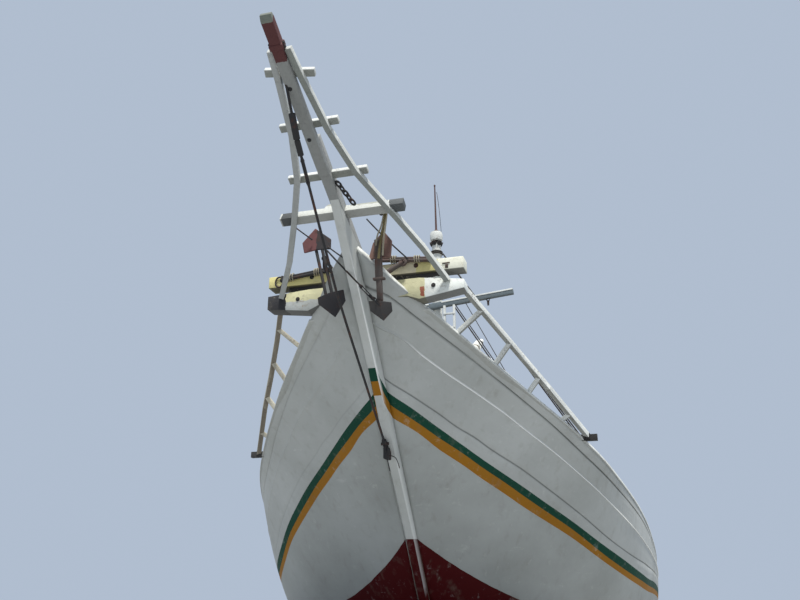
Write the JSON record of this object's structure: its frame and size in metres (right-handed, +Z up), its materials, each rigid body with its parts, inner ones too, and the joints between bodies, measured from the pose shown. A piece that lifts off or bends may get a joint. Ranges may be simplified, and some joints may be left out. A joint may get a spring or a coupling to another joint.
{
  "type": "wooden cargo sailing boat, pinisi type, afloat",
  "caption": "Wooden cargo sailing boat with a long plank bowsprit, cross beams, a mast with its boom, a deckhouse and a flat stern.",
  "frame": {"origin": "on the centreline at the waterline, amidships", "axes": "+X to port, -Y towards the bow, +Z up"},
  "size_m": [9.124, 33.6165, 12.87],
  "materials": {
    "white_paint": "satin oil paint over planks",
    "weathered_white": "weathered white paint on timber",
    "yellow_paint": "old yellow paint on timber",
    "green_paint": "oil paint",
    "red_bottom": "matt bottom paint",
    "deck_wood": "bare weathered wood",
    "rusty_iron": "rusted",
    "dark_iron": "painted black, worn",
    "bronze": "dull cast bronze",
    "sailcloth": "plain woven cloth",
    "rope": "tarred rope"
  },
  "bodies": {
    "root": {"hull": "white_paint", "stem_post": "white_paint", "transom": "white_paint", "bulwark_port": "white_paint", "bulwark_starboard": "white_paint", "rail_cap_port": "white_paint", "rail_cap_starboard": "white_paint", "keel": "red_bottom", "deadwood": "red_bottom", "stern_post": "red_bottom", "cross_beam_1": "weathered_white", "cross_beam_2": "weathered_white", "cross_beam_3": "weathered_white", "cross_beam_4": "weathered_white", "bowsprit_outer": "weathered_white", "bowsprit_inner": "weathered_white", "cat_beam_upper": "yellow_paint", "cat_beam_lower": "weathered_white", "head_rail_port": "weathered_white", "head_rail_starboard": "weathered_white", "side_rail_port": "weathered_white", "side_rail_starboard": "weathered_white", "anchor_port": "rusty_iron", "anchor_starboard": "dark_iron", "bobstay": "dark_iron", "foremast": "weathered_white", "crosstree": "weathered_white", "masthead_dome": "white_paint", "mast_pole": "red_bottom", "shrouds_port": "rope", "shrouds_starboard": "rope", "hatch_coaming": "white_paint", "hatch_cover": "deck_wood", "windlass_bitts": "weathered_white", "bitts_fore_port": "weathered_white", "bitts_fore_starboard": "weathered_white", "bitts_aft_port": "weathered_white", "bitts_aft_starboard": "weathered_white", "deckhouse_walls": "white_paint", "deckhouse_roof": "green_paint", "wheelhouse_walls": "white_paint", "wheelhouse_roof": "green_paint", "deck_railing": "white_paint", "exhaust_stack": "dark_iron", "helm_stand": "deck_wood", "engine": "dark_iron"},
    "rudder": {"rudder": "red_bottom"},
    "helm": {"helm_wheel": "deck_wood"},
    "propeller": {"propeller": "bronze", "propeller_shaft": "bronze"},
    "windlass": {"windlass_barrel": "deck_wood"},
    "boom": {"boom": "weathered_white", "furled_sail": "sailcloth"},
    "deckhouse_door_port": {"deckhouse_door_port": "deck_wood"},
    "deckhouse_door_starboard": {"deckhouse_door_starboard": "deck_wood"},
    "wheelhouse_door_port": {"wheelhouse_door_port": "deck_wood"},
    "wheelhouse_door_starboard": {"wheelhouse_door_starboard": "deck_wood"}
  },
  "joints": [
    {"name": "rudder_turn", "type": "hinge", "parent": "root", "child": "rudder", "pos_m": [0, 12.33, -0.9], "axis": [0, 0, 1], "range_deg": [-35, 35]},
    {"name": "helm_turn", "type": "hinge", "parent": "root", "child": "helm", "pos_m": [0, 6, 5.0603], "axis": [0, 1, 0], "range_deg": [-420, 420]},
    {"name": "propeller_spin", "type": "hinge", "parent": "root", "child": "propeller", "pos_m": [0, 11.15, -1.15], "axis": [0, 1, 0], "continuous": true},
    {"name": "windlass_spin", "type": "hinge", "parent": "root", "child": "windlass", "pos_m": [0, -11.5, 3.7544], "axis": [1, 0, 0], "continuous": true},
    {"name": "boom_swing", "type": "hinge", "parent": "root", "child": "boom", "pos_m": [0, -8.7, 4.3], "axis": [0, 0, 1], "range_deg": [-50, 50]},
    {"name": "deckhouse_door_port_swing", "type": "hinge", "parent": "root", "child": "deckhouse_door_port", "pos_m": [2.645, 6.2, 2.6], "axis": [0, 0, 1], "range_deg": [-110, 0]},
    {"name": "deckhouse_door_starboard_swing", "type": "hinge", "parent": "root", "child": "deckhouse_door_starboard", "pos_m": [-2.645, 6.2, 2.6], "axis": [0, 0, 1], "range_deg": [0, 110]},
    {"name": "wheelhouse_door_port_swing", "type": "hinge", "parent": "root", "child": "wheelhouse_door_port", "pos_m": [1.645, 8, 5], "axis": [0, 0, 1], "range_deg": [0, 110]},
    {"name": "wheelhouse_door_starboard_swing", "type": "hinge", "parent": "root", "child": "wheelhouse_door_starboard", "pos_m": [-1.645, 8, 5], "axis": [0, 0, 1], "range_deg": [-110, 0]}
  ],
  "couplings": [
    {"joint": "helm_turn", "follows": "rudder_turn", "ratio": 12}
  ]
}
